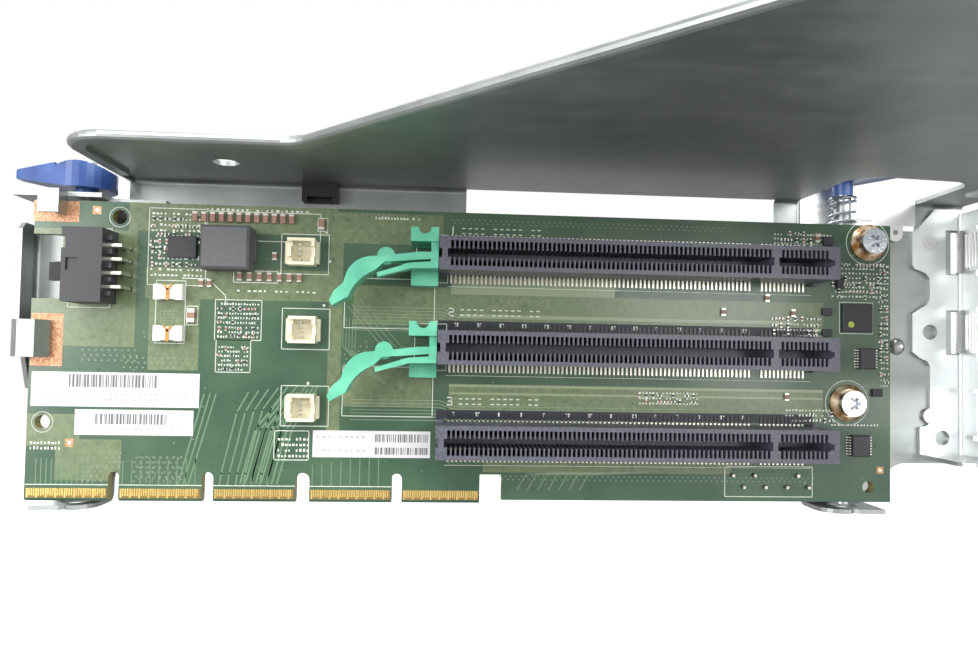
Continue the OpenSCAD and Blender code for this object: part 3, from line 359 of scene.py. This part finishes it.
def plain(name, colour, rough, metallic=0.0, grain=900, change=0.82, **fixed):
    """A finish whose colour and gloss vary a little over the surface."""
    paint, at = finish(name, colour, rough, metallic, **fixed)
    fine = at.noise(grain, 3)
    dark = tuple(c * change for c in colour[:3]) + (1,)
    feed(paint, Base_Color=fine.steps(0.3, 0.7).mix(dark, colour), Roughness=fine * 0.16 + (rough - 0.08),
         Normal=bump(at, fine, 0.00001, 0.25))
    return paint


# ---- Contact fingers ----
# Hard gold pads on both faces in five groups, each pair of millimetres holding one long pad and
# three short ones, with a bare bevel below and the white limit line above.

finger_gold = plain("finger_gold", tint(238, 208, 128), 0.28, 0.7, 500)
bevel_gold = plain("bevel_gold", tint(142, 112, 58), 0.5, 0.3, 700)
silk_white = plain("silk_white", tint(226, 230, 220), 0.6)
FINGERS = [(-8.2, 9.5), (11.7, 29.65), (32.1, 50.1), (53.2, 71.5), (73.8, 91.4)]
pad_top = 4.8
back_y = high.y / MM
for label, side, level in (("front", -1, face_y), ("back", 1, back_y)):
    pads = Flat(0.05, side, level)
    skirt = Flat(0.02, side, level)
    for x0, x1 in FINGERS:
        skirt.box(x0 + 0.25, x1 - 0.25, 2.75, pad_top)
        count = int((x1 - x0 - 0.6) / 0.5)
        for i in range(count):
            x = x0 + 0.35 + i * 0.5
            pads.box(x, x + (0.38 if i % 4 == 0 else 0.3), 2.75 if i % 4 == 0 else 3.2, pad_top)
    pads.done("finger_pads_" + label, finger_gold, "contact_gold")
    skirt.done("finger_skirt_" + label, bevel_gold, "contact_gold")

silk = Flat()
for x0, x1 in FINGERS[:4]:
    silk.box(x0, x1, 5.5, 5.66)

# ---- Traces and vias ----
# Copper tracks under the mask show as lighter green lines, and plated holes as small dots. The
# named rows and grids come first, then single holes at random places over the board.

trace_green = plain("trace_green", tint(104, 134, 104), 0.34, 0.0, 300, 0.85)
trace_pale = plain("trace_pale", tint(134, 150, 124), 0.36, 0.0, 300, 0.88)
via_tin = plain("via_tin", tint(150, 164, 140), 0.4, 0.2)
hole_dark = plain("hole_dark", tint(24, 40, 30), 0.5)
traces, fine_traces = Flat(0.015), Flat(0.018)
rings, holes = Flat(0.02), Flat(0.024)


def via(x, z, r=0.24):
    rings.disc(x, z, r, 8)
    holes.disc(x, z, r * 0.5, 6)


def bundle(count, start, pitch, route, width, into):
    """Parallel tracks: the route's corners are steps from each track's own start."""
    for i in range(count):
        x, z = start[0] + i * pitch[0], start[1] + i * pitch[1]
        corners = [(x, z)]
        for step in route:
            x, z = x + step[0] + i * step[2], z + step[1] + i * step[3]
            corners.append((x, z))
        into.line(corners, width)


# Pairs that sweep from the fingers up to the slots
bundle(7, (33.5, 5.8), (1.75, 0), [(0.3, 2.5, 0, 0), (3, 13.5, 0.12, 0.25), (2.4, 4.5, 0.3, 0.1)],
       0.34, traces)
bundle(3, (24.5, 5.8), (1.1, 0), [(5, 20, 0.2, 0)], 0.34, traces)
bundle(12, (-6, 5.8), (1.1, 0), [(0, 5.4, 0, 0)], 0.22, traces)
bundle(9, (12.5, 5.8), (1.95, 0), [(0, 5, 0, 0.12)], 0.22, traces)
bundle(8, (53.8, 5.8), (2.1, 0), [(0, 4.4, 0, 0.3)], 0.22, traces)
for z, count in ((52.6, 8), (31.6, 7)):
    bundle(count, (62, z - 6.5), (0, -0.75), [(20, 0, 0, 0), (3.5, -1.2, 0, 0), (60, 0, 2, 0)],
           0.14, fine_traces)
bundle(4, (60.6, 46.2), (1.0, 0.5), [(9.5, -10.6, 0, 0), (10, 0, 0, 0)], 0.12, fine_traces)
bundle(5, (59.8, 44), (0.7, -0.3), [(0, -7, 0, 0), (7, -7, 0, 0)], 0.12, fine_traces)
bundle(7, (100, 5.2), (2.4, 0), [(2, 3.4, 0, 0), (9, 0.6, 0.6, 0)], 0.16, fine_traces)
bundle(8, (38, 6.2), (1.15, 0), [(3, 12, 0, 0), (5.5, 7, 0, 0.4)], 0.4, traces)
slot_pads = 82
for k in range(3):
    slot_low, slot_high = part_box("card_slot_%d" % (k + 1))
    x0, x1 = slot_low.x / MM, slot_high.x / MM
    z0, z1 = slot_low.z / MM, slot_high.z / MM
    for i in range(slot_pads):
        x = x0 + 3 + i * (x1 - x0 - 5) / slot_pads
        traces.box(x, x + 0.22, z0 - 1.9, z0 - 1.2)
    silk.line([(x0 + 2, z0 - 2.15), (x1 - 1, z0 - 2.15)], 0.1)
for x0, x1, z in ((16, 70, 67.4), (17, 69, 66.9), (84, 150, 66.6), (84.6, 148, 65.8),
                  (96, 170, 8.2), (96.6, 168, 7.4)):
    x = x0
    while x < x1:
        via(x, z, 0.18)
        x += 1.25
for cx, cz, columns, rows, pitch in ((60.3, 29, 3, 7, 1.3), (12, 31.5, 12, 3, 1.35), (9, 9.5, 3, 4, 1.3),
                                     (15, 6.4, 8, 6, 1.3), (4, 6.4, 4, 4, 1.3), (62, 36, 3, 2, 1.4),
                                     (70, 35.5, 3, 2, 1.1), (128, 47.6, 9, 2, 2.1), (108, 26.5, 14, 2, 2.2),
                                     (19.4, 42, 5, 4, 0.9), (3, 33, 9, 3, 1.4), (16, 7, 7, 5, 1.5),
                                     (66, 53, 2, 2, 1.2), (94, 48.2, 8, 2, 1.6)):
    for i in range(columns):
        for j in range(rows):
            via(cx + i * pitch + (j % 2) * pitch * 0.3, cz + j * pitch * 0.8, 0.2)
stray_vias = 150
for i in range(stray_vias):
    via(random.uniform(14, 186), random.uniform(7, 66), 0.17)
traces.done("traces", trace_green, "board_mask")
fine_traces.done("fine_traces", trace_pale, "board_mask")
rings.done("via_rings", via_tin, "board_mask")
holes.done("via_holes", hole_dark, "board_mask")

# ---- Screen print ----
# White outlines round the parts and short dashes where their marks stand; no words.

outlines = [(-0.6, 8.4, 44.6, 62.2), (16.4, 29, 50, 67.2), (28.6, 54.2, 60.4, 66.9), (45.6, 56.2, 53.2, 62.2),
            (46.2, 56.8, 36.2, 45.4), (46.4, 57, 19, 28), (60, 80.3, 41.3, 52.6), (60, 80.3, 21.4, 32.6),
            (76, 83.2, 52, 63), (76, 83.2, 32, 42.6), (18.4, 24.8, 37, 51), (25.2, 27.6, 41.2, 45.4),
            (176, 184.2, 42.4, 49.8), (148.5, 169.5, 3.9, 10.9), (35.2, 45, 51, 53.6), (53.6, 55.8, 63, 66),
            (45.2, 52.8, 11.4, 17.9), (31.4, 41.6, 38, 47), (31.8, 39.4, 30.8, 38)]
for box in outlines:
    silk.frame(*box)
silk.line([(24, 51.6), (29.6, 51.6), (33.6, 47.9), (33.6, 45.8)], 0.2)
for x, z in ((184.5 - 1.6, 64.1), (177.9, 26)):
    silk.ring(x, z, 5.2, 0.14)
for x, z in ((10, 64.9), (-5, 19.2)):
    silk.ring(x, z, 2.2, 0.1, 24)
for x, z in ((56.5, 56.2), (16.8, 58.9), (55.6, 62.9), (55.4, 46.2), (52.3, 28.6), (80.2, 63.6), (80.8, 43)):
    silk.disc(x, z, 0.32)


def marks(x0, x1, z0, z1, tall, step, line_gap):
    """Rows of short white dashes in a field."""
    z = z0
    while z + tall <= z1:
        x = x0
        while x < x1:
            width = random.uniform(0.3, 0.7) * step
            if random.random() > 0.12:
                silk.box(x, x + width, z, z + tall * random.uniform(0.55, 1))
            x += step
        z += tall + line_gap


for field in ((17, 28, 52, 66.5, 0.55, 0.9, 0.7), (32, 41, 38.5, 46.5, 0.55, 0.62, 0.5),
              (32.4, 38.8, 31.2, 37.4, 0.5, 0.62, 0.5), (28.8, 52.5, 67.1, 68, 0.5, 1.1, 0.4),
              (36, 53, 48.9, 50.2, 0.5, 1.2, 0.4), (46, 52.4, 12, 17.4, 0.7, 0.8, 0.55),
              (174, 187, 51, 59.5, 0.5, 0.85, 0.6), (160, 172, 41.5, 46.5, 0.5, 0.8, 0.8),
              (163, 175, 21.5, 24.5, 0.5, 0.8, 0.7), (174, 186, 20.6, 21.8, 0.5, 0.8, 0.5),
              (186.2, 188.2, 30, 60, 0.45, 0.7, 0.9), (128, 142, 25, 28.5, 0.5, 0.8, 0.7),
              (150, 168, 12.2, 13.4, 0.5, 1.0, 0.5), (66.5, 76.5, 66.2, 67.1, 0.6, 0.7, 0.4),
              (-7.4, -1, 13.2, 15.6, 0.7, 0.75, 0.5), (160, 174, 62.2, 66.6, 0.45, 0.8, 0.6)):
    marks(*field)

# Dark strips above slots 2 and 3 with white position marks: a sheet for the housing's base, painted darker as
# painted shade over the row of leads. Plain digits on a two by three grid.
shade_strips = Flat(0.02)
DIGITS = {1: [[(0.5, 0), (0.5, 2)]], 2: [[(0, 2), (1, 2), (1, 1), (0, 1), (0, 0), (1, 0)]],
          3: [[(0, 2), (1, 2), (1, 0), (0, 0)], [(0.2, 1), (1, 1)]]}
for k in range(3):
    slot_low, slot_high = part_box("card_slot_%d" % (k + 1))
    left, base = slot_low.x / MM + 1.5, slot_high.z / MM + 1.6
    if k:
        base += 1.6
        # Painted shade: a thin dark sheet over the row of leads above the slot.
        shade_strips.box(left - 1.5, slot_high.x / MM - 0.5, slot_high.z / MM, slot_high.z / MM + 2.1)
        for i in range(14):
            for j in range(random.choice((1, 2))):
                silk.box(left + 2.2 + i * 5.2 + j * 0.6, left + 2.6 + i * 5.2 + j * 0.6,
                         slot_high.z / MM + 0.7, slot_high.z / MM + 1.6)
    for stroke in DIGITS[k + 1]:
        silk.line([(left + 1 + x, base + z * 0.85) for x, z in stroke], 0.24)
    for i in range(13):
        if i not in (4, 10):
            silk.box(left + 3.6 + i * 1.45, left + 4.4 + i * 1.45, base + 0.1, base + 0.34)
            silk.box(left + 3.6 + i * 1.45, left + 4.4 + i * 1.45, base + 1.3, base + 1.54)
silk.done("screen_print", silk_white, "board_mask")
shade_strips.done("slot_shade_strips", plain("shade_strip_dark", tint(34, 36, 46), 0.45), "board_mask")

# ---- Bare copper and gold pads ----
# Ground pads under the cage hooks and the test points, plated and open.

pad_copper, at = finish("pad_copper", tint(206, 160, 124), 0.4, 0.35)
dots = at.node("TexVoronoi", {}, {"Vector": at, "Scale": 2300.0})
feed(pad_copper, Base_Color=dots.steps(0.2, 0.6).mix(tint(214, 172, 136), tint(178, 128, 94)),
     Roughness=dots * 0.3 + 0.25)
ground = Flat(0.03)
ground.box(-8.5, 1.2, 63.5, 68.1)
ground.box(-8.1, -1.3, 31.5, 43.1)
ground.box(4.1, 5.9, 65.4, 67.2)
ground.box(0, 1.8, 13.8, 15.6)
ground.box(185.2, 186.8, 9.5, 11.1)
ground.done("ground_pads", pad_copper, "contact_gold")
dots_white = Flat(0.05)
for x, z in ((5, 66.3), (0.9, 14.7), (186, 10.3)):
    dots_white.disc(x, z, 0.42, 14)
dots_white.done("target_dots", plain("target_tin", tint(238, 224, 206), 0.35, 0.5), "contact_gold")

# ---- Labels ----
# White paper labels with a varnished face; only plain bars are printed on them.

label_white = plain("label_white", tint(212, 212, 214), 0.42, 0.0, 260, 0.97)
label_ink = plain("label_ink", tint(112, 112, 116), 0.55)
label_faint = plain("label_faint", tint(188, 184, 188), 0.55)
LABELS = [(-7.6, 28.5, 22.7, 30.3), (1.9, 27.4, 16.5, 22.1), (53.7, 80, 12.1, 18.1)]
paper, ink, faint = Flat(0.12), Flat(0.135), Flat(0.135)
for x0, x1, z0, z1 in LABELS:
    paper.box(x0, x1, z0, z1)


def bars(x0, x1, z0, z1):
    x = x0
    while x < x1:
        width = random.choice((0.14, 0.22, 0.34, 0.48))
        ink.box(x, min(x + width, x1), z0, z1)
        x += width + random.choice((0.16, 0.24, 0.36))


bars(0.4, 19.2, 27, 29.8)
bars(6.3, 21.6, 18.9, 21.2)
bars(67.6, 79.4, 15.6, 17.4)
bars(67.6, 79.4, 12.8, 14.4)
for x0, x1, z in ((-6, 26.5, 25.2), (-6, 19, 24), (4.6, 19.5, 17.5), (22.5, 24.5, 17.5), (54.6, 65.4, 16.4),
                  (54.6, 65.6, 13.4)):
    x = x0
    while x < x1:
        faint.box(x, x + random.uniform(0.35, 0.9), z, z + 0.5)
        x += 1.25
paper.done("labels", label_white, "board_mask")
ink.done("label_bars", label_ink, "board_mask")
faint.done("label_dashes", label_faint, "board_mask")

# ---- Card slots and contacts ----
# Glass-filled moulding, slate grey with a soft sheen. The contact strips are tinned at the board and painted
# dark brown in the slot as painted shade in its recesses; the feet above slots 2 and 3 are painted dark as
# painted shade, like the painted shade strips below them.

housing, place = finish("slot_housing", tint(84, 85, 97), 0.36)
fine = place.noise(1400, 2)
feed(housing, Base_Color=fine.steps(0.3, 0.7).mix(tint(76, 77, 88), tint(96, 97, 109)),
     Roughness=fine * 0.2 + 0.26, Normal=bump(place, fine, 0.000015, 0.4))
dress(housing, "card_slot_1", "card_slot_2", "card_slot_3")
contact_metal, place = finish("contact_metal", tint(226, 214, 184), 0.28, 0.95)
split = place.node("SeparateXYZ", {}, {"Vector": place})
depth = Wire(split.socket.node.outputs["Y"])
above = Wire(split.socket.node.outputs["Z"])
# Painted shade: contact feet in a band just above slots 2 and 3 are painted dark and not metallic, for the
# shade over the row of leads.
shaded_feet = None
for k in (1, 2):
    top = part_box("card_slot_%d" % (k + 1))[1].z
    here = (above > top - 0.0002) * (above < top + 0.003)
    shaded_feet = here if shaded_feet is None else shaded_feet.math("MAXIMUM", shaded_feet, here)
# Painted shade: contact metal more than 3 mm off the board, in the slot's recesses, is painted dark brown; at
# the board it keeps its bright tin.
slot_shade_and_tin = depth.steps(low.y - 0.003, low.y - 0.001).mix(tint(74, 60, 44), tint(232, 228, 214))
feed(contact_metal, Base_Color=shaded_feet.mix(slot_shade_and_tin, tint(36, 38, 46)), Metallic=(1 - shaded_feet) * 0.95,
     Roughness=place.noise(2000) * 0.2 + 0.2)
dress(contact_metal, "slot_contacts_1", "slot_contacts_2", "slot_contacts_3")

# ---- Card retention latches ----
# One-piece mouldings in sea green acetal, slightly translucent, with a soft gloss.

latch_green, place = finish("latch_green", tint(104, 190, 158), 0.34, 0.0, Subsurface_Weight=0.12,
                            Subsurface_Scale=0.0015, Subsurface_Radius=(0.6, 1.0, 0.8))
flow = place.noise(160, 3)
feed(latch_green, Base_Color=flow.steps(0.3, 0.7).mix(tint(86, 172, 142), tint(114, 202, 168)),
     Roughness=flow * 0.16 + 0.26, Normal=bump(place, place.noise(1300), 0.00001, 0.3))
dress(latch_green, "card_latch_1", "card_latch_2")

# ---- Headers and their pins ----
# Black power header and tail header, three cream signal headers, tin-plated square pins.

dress(plain("header_black", tint(50, 50, 54), 0.42, 0.0, 1200, 0.8), "power_header", "tail_header")
dress(plain("header_cream", tint(232, 226, 200), 0.42, 0.0, 500, 0.93), "signal_header_1", "signal_header_2",
      "signal_header_3")
dress(plain("pin_metal", tint(222, 218, 204), 0.24, 0.95), "power_header_pins", "signal_pins",
      "tail_header_pins")
dress(plain("clip_black", tint(26, 26, 29), 0.45), "panel_clip")

# ---- Chips and passive parts ----
# Epoxy bodies with a fine matt grain, a pressed-powder inductor, ceramic capacitors with tin caps,
# and two white fuses with gold clips.

chip_black = plain("chip_black", tint(48, 48, 52), 0.5, 0.0, 1600, 0.8)
dress(chip_black, "power_controller", "logic_chip")
dress(plain("inductor_core", tint(94, 94, 97), 0.55, 0.1, 1100, 0.84), "inductor")


def two_tone(name, axis, centres, half, inner, outer, metallic):
    """A finish that turns to outer beyond half a part's length from its middle, along one axis."""
    paint, at = finish(name, inner, 0.4)
    parts = at.node("SeparateXYZ", {}, {"Vector": at})
    along = Wire(parts.socket.node.outputs[axis])
    near = None
    for centre in centres:
        distance = along - centre * MM
        here = distance.math("ABSOLUTE", distance) < half * MM
        near = here if near is None else near.math("MAXIMUM", near, here)
    grain = at.noise(1200)
    feed(paint, Base_Color=near.mix(outer, grain.steps(0.3, 0.7).mix(tuple(c * 0.8 for c in inner), inner)),
         Metallic=(1 - near) * metallic, Roughness=grain * 0.2 + 0.25)
    return paint


leads, place = finish("chip_leads", tint(48, 48, 52), 0.4)
split = place.node("SeparateXYZ", {}, {"Vector": place})
along = Wire(split.socket.node.outputs["X"])
body_mask = None
for centre, half in ((182.4, 2.0), (180.8, 2.25)):
    height = Wire(split.socket.node.outputs["Z"])
    upper = (height > 26 * MM) if centre > 182 else (height < 26 * MM)
    distance = along - centre * MM
    here = (distance.math("ABSOLUTE", distance) < half * MM) * upper
    body_mask = here if body_mask is None else body_mask.math("MAXIMUM", body_mask, here)
feed(leads, Base_Color=body_mask.mix(tint(214, 214, 208), tint(50, 50, 54)), Metallic=(1 - body_mask) * 0.9,
     Roughness=place.noise(1500) * 0.2 + 0.3)
dress(leads, "buffer_chips")
dress(chip_black, "small_chips")
dress(two_tone("capacitor", "Z", (65.5, 52.3, 64.5, 43.3), 0.62, tint(158, 122, 106),
               tint(214, 208, 200), 0.7),
      "ceramic_capacitors")
dress(plain("fuse_ceramic", tint(240, 238, 232), 0.36, 0.0, 500, 0.94), "fuse_blocks")

details = Flat(0.3, -1, face_y - 2.35)
for x, z in ((21.7, 48.3), (21.9, 39.2)):
    details.line([(x - 0.7, z + 1.5), (x, z + 0.5), (x + 0.7, z + 1.5)], 0.35)
    details.line([(x, z + 0.5), (x, z - 1.5)], 0.6)
details.done("fuse_clips", plain("clip_gold", tint(214, 150, 78), 0.3, 0.7), "contact_gold")
spot = Flat(0.03, -1, face_y - 0.9)
spot.disc(178.4, 44.5, 0.75, 20)
spot.done("chip_spot", plain("spot_green", tint(176, 190, 74), 0.5), "chip_black")


class Parts:
    """Small soldered parts, a dark or brown body between two tin ends, gathered by colour."""

    def __init__(self):
        self.bodies, self.ends = {}, Flat(0)

    def add(self, x, z, w, l, tall, kind, upright=True):
        ends = self.ends
        body = self.bodies.setdefault(kind, Flat(0))
        for target, part_w, z0, z1, top in ((body, w * 0.94, -l / 2 + l * 0.22, l / 2 - l * 0.22,
                                             tall * 0.96),
                                            (ends, w, -l / 2, -l / 2 + l * 0.24, tall),
                                            (ends, w, l / 2 - l * 0.24, l / 2, tall)):
            target.front = face_y - top
            if upright:
                target.box(x - part_w / 2, x + part_w / 2, z + z0, z + z1)
            else:
                target.box(x + z0, x + z1, z - part_w / 2, z + part_w / 2)


parts = Parts()
# Each field: its X and Z ends, the steps between parts along X and Z, and the parts' height
PART_FIELDS = [(17.4, 28.6, 54.6, 66.4, 1.5, 1.7, 0.35), (32.4, 40.6, 39, 46, 1.5, 1.5, 0.3),
               (32.6, 38.6, 31.6, 37, 1.4, 1.5, 0.3), (174.2, 187, 51, 59.2, 1.6, 1.5, 0.35),
               (186, 188, 31, 50, 1.5, 1.9, 0.35), (162, 171, 62.6, 66.4, 1.7, 1.6, 0.35),
               (160, 171.6, 42.4, 46.2, 1.7, 1.6, 0.35), (128, 142, 25.6, 28.2, 1.6, 1.5, 0.35),
               (166, 174, 21.8, 24, 1.6, 1.5, 0.35)]
for x0, x1, z0, z1, step_x, step_z, tall in PART_FIELDS:
    x = x0
    while x < x1:
        z = z0
        while z < z1:
            if random.random() > 0.35:
                kind = random.choice(("dark", "dark", "brown"))
                parts.add(x, z, 0.5, 1.05, tall, kind, random.random() > 0.4)
            z += step_z
        x += step_x
for x, z in ((164.5, 46.9), (158.2, 50.3), (147.7, 46.8), (163, 27.2), (170.3, 64.7), (44.2, 57),
             (30, 50.6), (28.2, 50.6)):
    parts.add(x, z, 1, 1.8, 0.7, "brown")
parts.ends.done("small_part_ends", plain("solder_tin", tint(212, 212, 204), 0.3, 0.85), "pin_metal")
for kind, colour in (("dark", tint(44, 44, 46)), ("brown", tint(150, 112, 92))):
    parts.bodies[kind].done("small_parts_" + kind, plain("part_" + kind, colour, 0.45), "chip_black")

# ---- Latches ----
# Blue moulded levers on turned steel shafts, each with a cross pin, a snap ring and a wire spring.

lever_blue, place = finish("lever_blue", tint(48, 80, 142), 0.34)
flow = place.noise(220, 3)
feed(lever_blue, Base_Color=flow.steps(0.3, 0.7).mix(tint(40, 70, 130), tint(58, 92, 158)),
     Roughness=flow * 0.2 + 0.26, Normal=bump(place, place.noise(1500), 0.00001, 0.35))
dress(lever_blue, "front_lever", "rear_lever")
turned, place = finish("latch_steel", tint(206, 208, 210), 0.26, 1.0)
rings_wire = place.noise(1800, 2, (0.02, 0.02, 1))
feed(turned, Roughness=rings_wire * 0.22 + 0.16, Normal=bump(place, rings_wire, 0.00001, 0.4))
dress(turned, "front_shaft", "rear_shaft", "front_cross_pin", "rear_cross_pin", "front_retainer",
      "rear_retainer")
dress(plain("spring_steel", tint(196, 204, 216), 0.24, 1.0), "front_spring", "rear_spring")
